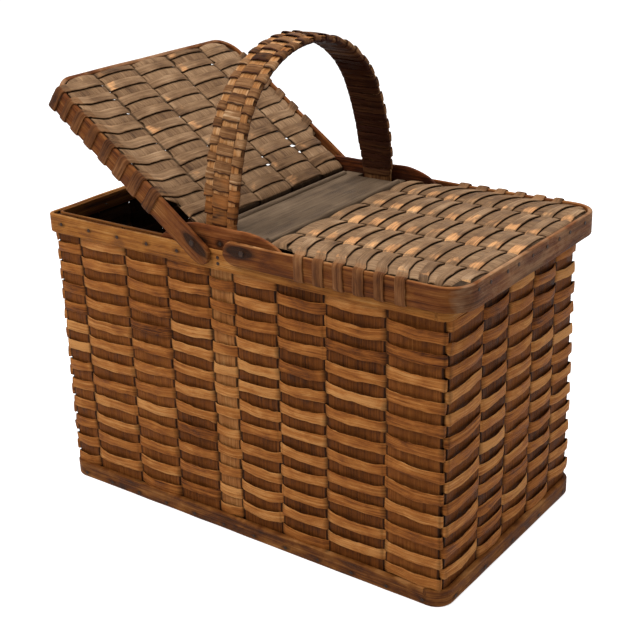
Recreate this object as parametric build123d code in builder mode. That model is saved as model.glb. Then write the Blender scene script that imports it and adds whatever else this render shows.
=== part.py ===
from build123d import *
from math import asin, atan2, cos, hypot, pi, radians, sin
import os

# Splint picnic basket: woven walls on a board base, a bent rim, a fixed
# handle over a centre board, and two lids that swing on nails through cheeks.
# Frame: X along the basket, Y across it, Z up, origin on the floor in the middle.

# Driving sizes of the whole basket, in millimetres
basket_length = 480.0
basket_depth = 257.0
rim_top = 301.3

# Rim
rim_height = 19.6
rim_thickness = 4.5
rim_corner = 10.0
rim_edge = 1.0
inner_rim_height = 16.0
inner_rim_thickness = 3.5
inner_rim_corner = 8.0

# Base
base_length = 479.0
base_depth = 267.0
base_height = 17.0
base_thickness = 5.5
base_corner = 18.0
base_edge = 1.2
board_thickness = 10.0

# Splints of the walls
stake_thickness = 1.2
stake_gap = 5.0
weaver_thickness = 1.0
weaver_gap = 0.5
weaver_rows = 24
weave_clearance = 0.45
end_wall_seat = 1.2
side_wall_seat = 1.4
end_rim_seat = 0.9
side_rim_seat = 0.85
weaver_corner = 6.0
stake_corner = 7.5
stake_foot = 1.0
stake_tuck = 1.4
left_front_shares = (34, 64, 57, 55)
right_front_shares = (51, 55, 66, 61)
back_shares = (1, 1, 1, 1)
end_shares = (62, 47, 50, 46, 41)
tail_column = 30.0

# Handle
handle_shift = -1.5
handle_skew = 0.092
handle_inset = 13.0
handle_apex = 477.0
crown_inset = 14.5
hoop_width = 33.0
crown_width = 39.8
widening = 35.0
hoop_thickness = 3.0
rib_thickness = 1.0
rib_width = 8.0
rib_gap = 1.0
wrap_thickness = 0.8
wrap_width = 6.6
wrap_pitch = 7.8
wrap_overhang = 2.5
wrap_start = 317.0
hoop_foot_height = 283.0
hoop_outside = 1.2
spring_rise = 2.7

# Cheeks and centre board
mid = -4.4
cheek_lap = 18.6
cheek_shoulder_in = 0.42
cheek_shoulder_down = 0.24
cheek_thickness = 3.6
front_cheek_half = 80.0
front_cheek_top = 323.0
front_cheek_flat = 18.0
back_cheek_half = 92.0
back_cheek_top = 328.0
back_cheek_flat = 40.0
plank_left = -33.0
plank_right = 41.0
plank_thickness = 11.5
bead_radius = 3.2
notch_margin = 3.0

# Lids
pivot_spread = 30.0
pivot_height = 306.0
left_lid_overhang = 12.4
right_lid_overhang = 15.6
left_panel_start = 8.0
right_panel_start = 20.0
left_lid_open = 36.5
arm_thickness = 4.5
arm_above = 9.0
arm_below = 14.0
arm_tip = 23.0
arm_tip_top = 10.0
arm_tip_foot = 15.0
arm_tip_level = -4.0
arm_clearance = 0.7
lid_corner = 26.0
ledge_thickness = 4.0
ledge_start = 62.0
lid_row_shares = (0.93, 1, 1, 1, 0.93)
row_gap = 5.0
neck_clearance = 0.5
front_neck = 42.0
back_neck = 60.0
panel_level = 7.0
left_weft_shares = [1 - 0.008 * i for i in range(18)] + [0.45]
right_weft_shares = [1] * 19
weft_gap = 0.9
weft_clearance = 0.3
first_weft_gap = 1.0
ledge_drop = 0.15
wrap_lap = 5.0
wrap_corner_gap = 3.0
bar_width = 12.0
bar_thickness = 4.5
bar_top = 3.5
bar_edge = 1.0
tab_drop = 6.0

# Nails
nail_radius = 0.8
nail_head_radius = 1.7
nail_head = 0.5
nail_shy = 0.5
nail_corner = 22.0
nails_long_side = 12
nails_end_side = 5
rim_nail_drop = 9.0
base_nail_level = 5.0
base_nail_grip = 10.0
foot_nail_shift = 4.0
foot_nail_drops = (6.5, 12.5)
cheek_nail_rise = 5.5
lid_nail_shares = (-1, -0.81, -0.53, -0.34, -0.09, 0.17, 0.4, 0.61, 0.91)
lid_nail_corner = 2.0
lid_nail_drop = 6.5
lid_nail_length = 9.0
pivot_radius = 1.6
pivot_head_radius = 3.0
pivot_head = 1.2
pivot_head_taper = 25.0

# Clearances
seat = 0.1
loose_seat = 0.3
running_fit = 0.05
press_fit = 0.02

os.makedirs("parts", exist_ok=True)

half_length = basket_length / 2
half_depth = basket_depth / 2
rim_bottom = rim_top - rim_height
weave_offset = stake_thickness / 2 + weave_clearance + weaver_thickness / 2
row_pitch = (rim_bottom - base_height) / weaver_rows
stake_top = rim_top - stake_tuck
rim_nail_level = rim_top - rim_nail_drop
cheek_face = half_depth - rim_thickness - seat
handle_foot = half_depth - handle_inset
crown_radius = handle_foot - crown_inset
wall_foot_half_length = base_length / 2 - base_thickness - end_wall_seat
wall_foot_half_depth = base_depth / 2 - base_thickness - side_wall_seat
wall_top_half_length = half_length - rim_thickness - end_rim_seat
wall_top_half_depth = cheek_face - cheek_thickness - side_rim_seat
foot_nail_reach = half_depth - handle_foot + hoop_thickness
pivots_at = (mid - pivot_spread, mid + pivot_spread)
left_lid_reach = half_length + pivots_at[0] + left_lid_overhang
right_lid_reach = half_length - pivots_at[1] + right_lid_overhang


def save(piece, name):
    """Label one finished piece and write its STEP file."""
    piece.part.label = name
    export_step(piece.part, f"parts/{name}.step")


def parallel(points, distance, closed=False):
    """Points of a line at a steady distance to the left of a polyline."""
    count = len(points)
    moved = []
    for i, (x, y) in enumerate(points):
        before = points[i - 1] if closed or i > 0 else None
        after = points[(i + 1) % count] if closed or i < count - 1 else None
        normals = []
        for a, b in ((before, (x, y)), ((x, y), after)):
            if a is None or b is None:
                continue
            run = hypot(b[0] - a[0], b[1] - a[1])
            normals.append(((a[1] - b[1]) / run, (b[0] - a[0]) / run))
        nx = sum(n[0] for n in normals) / len(normals)
        ny = sum(n[1] for n in normals) / len(normals)
        scale = distance / (nx * nx + ny * ny)
        moved.append((x + nx * scale, y + ny * scale))
    return moved


def strip_outline(points, thickness):
    """Closed outline of a strip of steady thickness along an open polyline."""
    left = parallel(points, thickness / 2)
    right = parallel(points, -thickness / 2)
    return left + right[::-1]


# Walls: half sizes of the stake plane at a height, and the columns around it

def wall_half_length(z):
    rise = (z - base_height) / (rim_bottom - base_height)
    return wall_foot_half_length + (wall_top_half_length - wall_foot_half_length) * rise


def wall_half_depth(z):
    rise = (z - base_height) / (rim_bottom - base_height)
    return wall_foot_half_depth + (wall_top_half_depth - wall_foot_half_depth) * rise


def spread(start, end, shares):
    """Places that divide a length by its shares, without the first one."""
    places = []
    reached = 0
    for share in shares:
        reached += share
        places.append(start + (end - start) * reached / sum(shares))
    return places


def foot_x(sign):
    """Place of a handle foot along the front (sign -1) or back (sign 1) wall."""
    return handle_shift + sign * handle_skew * handle_foot


def long_wall_gaps(z, sign):
    """Column edges along the front (sign -1) or back (sign 1) wall, by X."""
    half = wall_half_length(z)
    tail = foot_x(sign)
    left = left_front_shares if sign < 0 else back_shares
    right = right_front_shares if sign < 0 else back_shares
    first, last = tail - tail_column / 2, tail + tail_column / 2
    return [-half] + spread(-half, first, left) + [last] + spread(last, half, right)


def end_wall_gaps(z):
    """Column edges along an end wall, by Y."""
    half = wall_half_depth(z)
    return [-half] + spread(-half, half, end_shares)


def ring_points(row):
    """Middle line of one weaver, over and under the stakes all the way round."""
    z = base_height + (row + 0.5) * row_pitch
    hx, hy = wall_half_length(z), wall_half_depth(z)
    ends = end_wall_gaps(z)
    sides = (
        ([x + hx for x in long_wall_gaps(z, -1)], (-hx, -hy), (1, 0)),
        ([y + hy for y in ends], (hx, -hy), (0, 1)),
        ([hx - x for x in long_wall_gaps(z, 1)[::-1]], (hx, hy), (-1, 0)),
        ([hy - y for y in ends[::-1]], (-hx, hy), (0, -1)),
    )
    points = []
    column = 0
    for places, corner, along in sides:
        outward = (along[1], -along[0])
        for i in range(len(places) - 1):
            offset = weave_offset if (column + row) % 2 == 0 else -weave_offset
            start = places[i] + (weaver_corner if i == 0 else stake_gap / 2)
            stop = places[i + 1] - (weaver_corner if i == len(places) - 2 else stake_gap / 2)
            for s in (start, stop):
                points.append((
                    corner[0] + along[0] * s + outward[0] * offset,
                    corner[1] + along[1] * s + outward[1] * offset,
                ))
            column += 1
    return points


def nail_places(half_x, half_y):
    """Nails around a band: point on its outer face and the inward direction."""
    places = []
    reach_x = half_x - nail_corner
    for i in range(nails_long_side):
        x = -reach_x + 2 * reach_x * i / (nails_long_side - 1)
        places.append(((x, -half_y), (0, 1)))
        places.append(((x, half_y), (0, -1)))
    reach_y = half_y - nail_corner
    for i in range(nails_end_side):
        y = -reach_y + 2 * reach_y * i / (nails_end_side - 1)
        places.append(((half_x, y), (-1, 0)))
        places.append(((-half_x, y), (1, 0)))
    return places


def nail_plane(place, inward, z):
    return Plane(origin=(place[0], place[1], z), x_dir=(-inward[1], inward[0], 0),
                 z_dir=(inward[0], inward[1], 0))


def cut_nail_holes(places, z, length):
    """Cut the nail holes out of the part that is being built."""
    for place, inward in places:
        with BuildSketch(nail_plane(place, inward, z)) as hole:
            Circle(nail_radius + press_fit)
        extrude(hole.sketch, amount=length, mode=Mode.SUBTRACT)


def build_nails(places, z, length):
    """A group of nails with flat heads on the faces of a band."""
    with BuildPart() as nails:
        for place, inward in places:
            with BuildSketch(nail_plane(place, inward, z)):
                Circle(nail_radius)
            extrude(amount=length)
            with BuildSketch(nail_plane(place, inward, z)):
                Circle(nail_head_radius)
            extrude(amount=-nail_head)
    return nails


def foot_nails_at(face):
    """Nails through the two handle feet, from a face at this distance."""
    return [((foot_x(sign) + foot_nail_shift, sign * face), (0, -sign)) for sign in (-1, 1)]


def clear_of_feet(place):
    x, y = place
    return abs(y) < half_depth or abs(x - foot_x(y / half_depth)) > hoop_width / 2 + nail_head_radius


rim_nails_at = [nail for nail in nail_places(half_length, half_depth) if clear_of_feet(nail[0])]
base_nails_at = nail_places(base_length / 2, base_depth / 2)
inner_half_depth = wall_half_depth(rim_top) - stake_thickness / 2 - seat
inner_half_length = wall_half_length(rim_bottom) - stake_thickness / 2 - seat
rim_nail_length = half_depth - inner_half_depth + inner_rim_thickness - nail_shy
board_half_length = wall_half_length(0) - stake_thickness / 2 - loose_seat
board_half_depth = wall_half_depth(board_thickness) - stake_thickness / 2 - loose_seat
base_nail_length = base_depth / 2 - board_half_depth + base_nail_grip

# Base board and the bent band around it
with BuildPart() as base_board:
    with BuildSketch():
        RectangleRounded(2 * board_half_length, 2 * board_half_depth, base_corner - base_thickness)
    extrude(amount=board_thickness)
    cut_nail_holes(base_nails_at, base_nail_level, base_nail_length)
save(base_board, "base_board")

with BuildPart() as base_band:
    with BuildSketch():
        RectangleRounded(base_length, base_depth, base_corner)
        RectangleRounded(
            base_length - 2 * base_thickness, base_depth - 2 * base_thickness,
            base_corner - base_thickness, mode=Mode.SUBTRACT,
        )
    extrude(amount=base_height)
    fillet(base_band.edges().group_by(Axis.Z)[-1], base_edge)
    cut_nail_holes(base_nails_at, base_nail_level, base_nail_length)
save(base_band, "base_band")
save(build_nails(base_nails_at, base_nail_level, base_nail_length), "base_nails")


# Stakes: upright splints of each wall, held in the base and in the rim
def wall_plane(sign_x, sign_y):
    """Plane of a wall's stakes, with its local Y running up the wall."""
    slope_x = wall_half_length(1) - wall_half_length(0)
    slope_y = wall_half_depth(1) - wall_half_depth(0)
    if sign_y:
        origin = (0, sign_y * wall_half_depth(0), 0)
        up = Vector(0, sign_y * slope_y, 1).normalized()
        along = Vector(-sign_y, 0, 0)
    else:
        origin = (sign_x * wall_half_length(0), 0, 0)
        up = Vector(sign_x * slope_x, 0, 1).normalized()
        along = Vector(0, sign_x, 0)
    return Plane(origin=origin, x_dir=along, z_dir=along.cross(up)), up.Z


def build_stakes(sign_x, sign_y):
    plane, rise = wall_plane(sign_x, sign_y)

    def gaps(z):
        places = long_wall_gaps(z, sign_y) if sign_y else end_wall_gaps(z)
        turn = -sign_y if sign_y else sign_x
        return places if turn > 0 else [-p for p in places[::-1]]

    low, high = gaps(stake_foot), gaps(stake_top)
    tail = len(left_front_shares) if sign_y else None
    with BuildPart() as stakes:
        with BuildSketch(plane):
            for i in range(len(low) - 1):
                if i == tail:
                    continue
                left = stake_corner if i == 0 else stake_gap / 2
                right = stake_corner if i == len(low) - 2 else stake_gap / 2
                with BuildLine():
                    Polyline(
                        (low[i] + left, stake_foot / rise), (low[i + 1] - right, stake_foot / rise),
                        (high[i + 1] - right, stake_top / rise), (high[i] + left, stake_top / rise),
                        close=True,
                    )
                make_face()
        extrude(amount=stake_thickness / 2, both=True)
        with BuildSketch():
            Rectangle(2 * base_length, 2 * base_depth)
            RectangleRounded(
                base_length - 2 * base_thickness - 2 * seat, base_depth - 2 * base_thickness - 2 * seat,
                base_corner - base_thickness, mode=Mode.SUBTRACT,
            )
        extrude(amount=base_height + seat, mode=Mode.SUBTRACT)
        cut_nail_holes(rim_nails_at, rim_nail_level, rim_nail_length)
        cut_nail_holes(base_nails_at, base_nail_level, base_nail_length)
    return stakes


for name, sign_x, sign_y in (
    ("front_stakes", 0, -1), ("back_stakes", 0, 1), ("right_end_stakes", 1, 0), ("left_end_stakes", -1, 0),
):
    save(build_stakes(sign_x, sign_y), name)


# Tails of the handle: the narrow middle stake of each long wall
tail_top = hoop_foot_height - loose_seat
with BuildPart() as handle_tails:
    for sign in (-1, 1):
        plane, rise = wall_plane(0, sign)
        with BuildSketch(plane):
            with Locations((-sign * foot_x(sign), (stake_foot + tail_top) / 2 / rise)):
                Rectangle(tail_column - stake_gap, (tail_top - stake_foot) / rise)
        extrude(amount=stake_thickness / 2, both=True)
    cut_nail_holes(base_nails_at, base_nail_level, base_nail_length)
save(handle_tails, "handle_tails")


# Weavers: one closed band for each row, over and under the stakes
def build_weavers(rows):
    with BuildPart() as weavers:
        for row in rows:
            middle = ring_points(row)
            with BuildSketch(Plane.XY.offset(base_height + row * row_pitch + weaver_gap / 2)):
                with BuildLine():
                    Polyline(*parallel(middle, -weaver_thickness / 2, True), close=True)
                make_face()
                with BuildLine():
                    Polyline(*parallel(middle, weaver_thickness / 2, True), close=True)
                make_face(mode=Mode.SUBTRACT)
        extrude(amount=row_pitch - weaver_gap)
    return weavers


save(build_weavers(range(0, weaver_rows, 2)), "even_weavers")
save(build_weavers(range(1, weaver_rows, 2)), "odd_weavers")


# Rim: a bent band outside the stakes and two half bands inside them
with BuildPart() as outer_rim:
    with BuildSketch(Plane.XY.offset(rim_bottom)):
        RectangleRounded(basket_length, basket_depth, rim_corner)
        RectangleRounded(
            basket_length - 2 * rim_thickness, basket_depth - 2 * rim_thickness,
            rim_corner - rim_thickness, mode=Mode.SUBTRACT,
        )
    extrude(amount=rim_height)
    fillet(outer_rim.edges().group_by(Axis.Z)[-1], rim_edge)
    cut_nail_holes(rim_nails_at, rim_nail_level, rim_nail_length)
    for drop in foot_nail_drops:
        cut_nail_holes(foot_nails_at(half_depth), rim_top - drop, foot_nail_reach)
save(outer_rim, "outer_rim")

foot_gap = hoop_width / 2 + loose_seat
for name, side in (("left_inner_rim", -1), ("right_inner_rim", 1)):
    with BuildPart() as inner_rim:
        with BuildSketch(Plane.XY.offset(rim_top - inner_rim_height)):
            RectangleRounded(2 * inner_half_length, 2 * inner_half_depth, inner_rim_corner)
            RectangleRounded(
                2 * inner_half_length - 2 * inner_rim_thickness,
                2 * inner_half_depth - 2 * inner_rim_thickness,
                inner_rim_corner - inner_rim_thickness, mode=Mode.SUBTRACT,
            )
            for sign in (-1, 1):
                cut = foot_x(sign) + side * foot_gap
                with Locations((cut - side * basket_length / 2, sign * basket_depth / 4)):
                    Rectangle(basket_length, basket_depth / 2, mode=Mode.SUBTRACT)
        extrude(amount=inner_rim_height - seat)
        cut_nail_holes(rim_nails_at, rim_nail_level, rim_nail_length)
    save(inner_rim, name)


# Every row of nails that passes through a handle foot, as (face, level, length)
foot_nail_rows = [(half_depth, rim_top - drop, foot_nail_reach) for drop in foot_nail_drops]
foot_nail_rows.append((cheek_face, rim_top + cheek_nail_rise, foot_nail_reach - half_depth + cheek_face))


def cut_foot_nail_holes():
    for face, level, length in foot_nail_rows:
        cut_nail_holes(foot_nails_at(face), level, length)


# Cheeks: arched boards inside the outer rim that carry the handle and pivots
def build_cheek(sign, half, top, flat):
    plane = Plane(origin=(mid, sign * cheek_face, 0), x_dir=(-sign, 0, 0), z_dir=(0, sign, 0))
    bottom = rim_top - cheek_lap
    shoulder = half - cheek_shoulder_in * (half - flat)
    shoulder_top = top - cheek_shoulder_down * (top - rim_top)
    with BuildPart() as cheek:
        with BuildSketch(plane):
            with BuildLine():
                Polyline((-half, rim_top), (-half, bottom), (half, bottom), (half, rim_top))
                ThreePointArc((half, rim_top), (shoulder, shoulder_top), (flat, top))
                Line((flat, top), (-flat, top))
                ThreePointArc((-flat, top), (-shoulder, shoulder_top), (-half, rim_top))
            make_face()
        extrude(amount=-cheek_thickness)
        with BuildSketch(plane):
            for x in pivots_at:
                with Locations((-sign * (x - mid), pivot_height)):
                    Circle(pivot_radius + press_fit)
        extrude(amount=-cheek_thickness, mode=Mode.SUBTRACT)
        cut_foot_nail_holes()
        cut_nail_holes(rim_nails_at, rim_nail_level, rim_nail_length)
    return cheek


save(build_cheek(-1, front_cheek_half, front_cheek_top, front_cheek_flat), "front_cheek")
save(build_cheek(1, back_cheek_half, back_cheek_top, back_cheek_flat), "back_cheek")
save(build_nails(rim_nails_at, rim_nail_level, rim_nail_length), "rim_nails")


# Handle: a bent hoop set a little askew, three ribs on it and splint wraps
handle_plane = Plane(origin=(handle_shift, 0, 0), x_dir=(handle_skew, 1, 0), z_dir=(1, -handle_skew, 0))
handle_side = Plane(origin=(handle_shift, 0, 0), x_dir=(1, -handle_skew, 0), z_dir=(-handle_skew, -1, 0))
crown_centre = handle_apex - crown_radius
wide_from = wrap_start + widening


# Side arcs: tangent to the crown from inside and upright at the spring line
spring_level = rim_top + spring_rise
side_turn = 2 * atan2(handle_foot - crown_radius, crown_centre - spring_level)
side_radius = (handle_foot - crown_radius) / (1 - cos(side_turn)) + crown_radius


def arch(offset, angle):
    """Point of the arch at an angle from the top, at an offset outwards."""
    if abs(angle) <= pi / 2 - side_turn:
        r = crown_radius + offset
        return (r * sin(angle), crown_centre + r * cos(angle))
    side = 1 if angle > 0 else -1
    r = side_radius + offset
    turn = abs(angle)
    return (side * (handle_foot - side_radius + r * sin(turn)), spring_level + r * cos(turn))


def arch_face(inner, outer, foot):
    """Flat ring segment between two offsets, with straight feet."""
    shoulder = pi / 2 - side_turn
    half_side = pi / 2 - side_turn / 2
    with BuildLine() as outline:
        for offset in (inner, outer):
            low, high = arch(offset, -pi / 2), arch(offset, pi / 2)
            Line((low[0], foot), low)
            ThreePointArc(low, arch(offset, -half_side), arch(offset, -shoulder))
            ThreePointArc(arch(offset, -shoulder), arch(offset, 0), arch(offset, shoulder))
            ThreePointArc(arch(offset, shoulder), arch(offset, half_side), high)
            Line(high, (high[0], foot))
        for side in (-1, 1):
            Line((side * (handle_foot + inner), foot), (side * (handle_foot + outer), foot))
    make_face(outline.edges())


def widening_band(low_edge, high_edge, low_share, high_share):
    """Side view of a band whose edges spread as the handle widens above its feet."""
    spread_out = (crown_width - hoop_width) / 2
    left = [(low_edge, hoop_foot_height), (low_edge, wrap_start)]
    left += [(low_edge + low_share * spread_out, z) for z in (wide_from, handle_apex + hoop_width)]
    right = [(high_edge, hoop_foot_height), (high_edge, wrap_start)]
    right += [(high_edge + high_share * spread_out, z) for z in (wide_from, handle_apex + hoop_width)]
    with BuildLine() as outline:
        Polyline(*left, *right[::-1], close=True)
    make_face(outline.edges())


def width_at(z):
    """Width of the hoop at a height."""
    rise = min(max((z - wrap_start) / widening, 0), 1)
    return hoop_width + (crown_width - hoop_width) * rise


def build_arch(inner, outer, bands):
    """Bent strips that follow the arch and widen with it."""
    with BuildPart() as whole:
        for band in bands:
            with BuildPart(mode=Mode.PRIVATE) as strip:
                with BuildSketch(handle_plane):
                    arch_face(inner, outer, hoop_foot_height)
                extrude(amount=crown_width, both=True)
                with BuildSketch(handle_side):
                    widening_band(*band)
                extrude(amount=half_depth, both=True, mode=Mode.INTERSECT)
            add(strip.part)
        cut_foot_nail_holes()
    return whole


hoop_inside = hoop_outside - hoop_thickness
hoop_half = hoop_width / 2
save(build_arch(hoop_inside, hoop_outside, [(-hoop_half, hoop_half, -1, 1)]), "handle_hoop")

rib_outer = hoop_outside + seat + rib_thickness
rib_edge = hoop_half - rib_width
middle_edge = rib_edge - rib_gap
save(build_arch(hoop_outside + seat, rib_outer, [
    (-hoop_half, -rib_edge, -1, -0.7), (-middle_edge, middle_edge, -0.7, 0.7), (rib_edge, hoop_half, 0.7, 1),
]), "handle_ribs")

wrap_outer = rib_outer + loose_seat + wrap_thickness
wrap_inner = hoop_inside - loose_seat - wrap_thickness
first_angle = pi / 2 - asin((wrap_start - spring_level) / side_radius)
shoulder_angle = pi / 2 - side_turn
side_length = side_radius * (first_angle - shoulder_angle)
wrapped_length = 2 * side_length + 2 * crown_radius * shoulder_angle
wrap_count = int(wrapped_length / wrap_pitch)


def arch_angle(length):
    """Angle from the top at a length along the arch, from the first wrap."""
    if length < side_length:
        return -(first_angle - length / side_radius)
    if length > wrapped_length - side_length:
        return first_angle - (wrapped_length - length) / side_radius
    return -shoulder_angle + (length - side_length) / crown_radius


with BuildPart() as handle_wraps:
    for i in range(wrap_count):
        angle = arch_angle((i + 0.5) * wrapped_length / wrap_count)
        centre_offset = (wrap_outer + wrap_inner) / 2
        place = arch(centre_offset, angle)
        origin = handle_plane.from_local_coords(Vector(place[0], place[1], 0))
        outward = handle_plane.from_local_coords(Vector(sin(angle), cos(angle), 0)) - handle_plane.origin
        along = outward.cross(handle_plane.z_dir)
        width = width_at(place[1]) + 2 * wrap_overhang
        with BuildSketch(Plane(origin=origin, x_dir=outward, z_dir=along)):
            Rectangle(wrap_outer - wrap_inner, width)
            Rectangle(
                wrap_outer - wrap_inner - 2 * wrap_thickness, width - 2 * wrap_thickness,
                mode=Mode.SUBTRACT,
            )
    extrude(amount=wrap_width / 2, both=True)
save(handle_wraps, "handle_wraps")

with BuildPart() as handle_nails:
    for face, level, length in foot_nail_rows:
        add(build_nails(foot_nails_at(face), level, length).part)
save(handle_nails, "handle_nails")


# Centre board between the lids, notched round the handle feet, with two beads
plank_bottom = rim_top + loose_seat
plank_half = cheek_face - cheek_thickness - loose_seat
notch_reach = handle_foot + wrap_inner - notch_margin
notch_half = hoop_width / 2 + wrap_overhang + notch_margin
with BuildPart() as centre_board:
    with BuildSketch(Plane.XY.offset(plank_bottom)):
        with Locations(((plank_left + plank_right) / 2, 0)):
            Rectangle(plank_right - plank_left, 2 * plank_half)
        for sign in (-1, 1):
            with Locations((foot_x(sign), sign * (notch_reach + half_depth) / 2)):
                Rectangle(2 * notch_half, half_depth - notch_reach, mode=Mode.SUBTRACT)
    extrude(amount=plank_thickness)
save(centre_board, "centre_board")

with BuildPart() as board_beads:
    for x in (plank_left + bead_radius, plank_right - bead_radius):
        plane = Plane(origin=(x, 0, plank_bottom + plank_thickness), x_dir=(1, 0, 0), z_dir=(0, -1, 0))
        with BuildSketch(plane):
            Circle(bead_radius)
            with Locations((0, -bead_radius)):
                Rectangle(2 * bead_radius, 2 * bead_radius, mode=Mode.SUBTRACT)
        extrude(amount=notch_reach - loose_seat, both=True)
save(board_beads, "board_beads")


# Lids: a bent frame with arms, an inner ledge, and a woven panel on a cross bar
arm_inner = half_depth + arm_clearance
arm_outer = arm_inner + arm_thickness
panel_half_width = arm_inner - loose_seat
neck_half_width = cheek_face - cheek_thickness - neck_clearance
row_edges = [-panel_half_width] + spread(-panel_half_width, panel_half_width, lid_row_shares)
row_sides = [
    (low + (row_gap / 2 if i > 0 else 0), high - (row_gap / 2 if i < len(lid_row_shares) - 1 else 0))
    for i, (low, high) in enumerate(zip(row_edges, row_edges[1:]))
]
weft_rise = stake_thickness / 2 + weft_clearance + weaver_thickness / 2
ledge_top = panel_level - weft_rise - weaver_thickness / 2 - ledge_drop
ledge_bottom = rim_top + loose_seat - pivot_height
ledge_corner = lid_corner - arm_thickness - seat
wrap_top = max(panel_level + weft_rise + weaver_thickness / 2, arm_above) + seat + wrap_thickness / 2
wrap_side = arm_outer + seat + wrap_thickness / 2
wrap_foot = -arm_below - seat - wrap_thickness / 2
lid_nail_reach = arm_outer - lid_corner - lid_nail_corner
lid_nails_at = [(lid_nail_reach * share, arm_above - lid_nail_drop) for share in lid_nail_shares]


def lid_planes(pivot_x, outward, angle):
    """Planes of a lid from its pivot: flat, side view and cross section."""
    u = Vector(outward * cos(radians(angle)), 0, sin(radians(angle)))
    w = Vector(-outward * sin(radians(angle)), 0, cos(radians(angle)))
    v = w.cross(u)
    origin = Vector(pivot_x, 0, pivot_height)
    flat = Plane(origin=origin, x_dir=u, z_dir=w)
    side = Plane(origin=origin, x_dir=u, z_dir=v * -1)
    cross = Plane(origin=origin, x_dir=v, z_dir=u)
    return flat, side, cross


def hoop_sketch(start, end, half, corner, mode=Mode.ADD):
    """Flat shape with two rounded corners at its far end."""
    with BuildSketch(mode=Mode.PRIVATE) as shape:
        with Locations(((start + end) / 2, 0)):
            Rectangle(end - start, 2 * half)
        fillet(shape.vertices().sort_by(Axis.X)[-2:], corner)
    add(shape.sketch, mode=mode)


def arm_profile(reach):
    """Side view of a lid's frame, with a rounded tip behind the pivot."""
    top = (arm_tip_top - arm_tip, arm_above)
    foot = (arm_tip_foot - arm_tip, -arm_below)
    with BuildLine() as outline:
        ThreePointArc(top, (-arm_tip, arm_tip_level), foot)
        Polyline(foot, (reach, -arm_below), (reach, arm_above), top)
    make_face(outline.edges())


def weft_line(starts_over):
    """Middle line of a weft over and under the rows of the panel."""
    line = []
    for row, (start, stop) in enumerate(row_sides):
        level = panel_level + (weft_rise if (row % 2 == 0) == starts_over else -weft_rise)
        line += [(start, level), (stop, level)]
    return line


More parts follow.
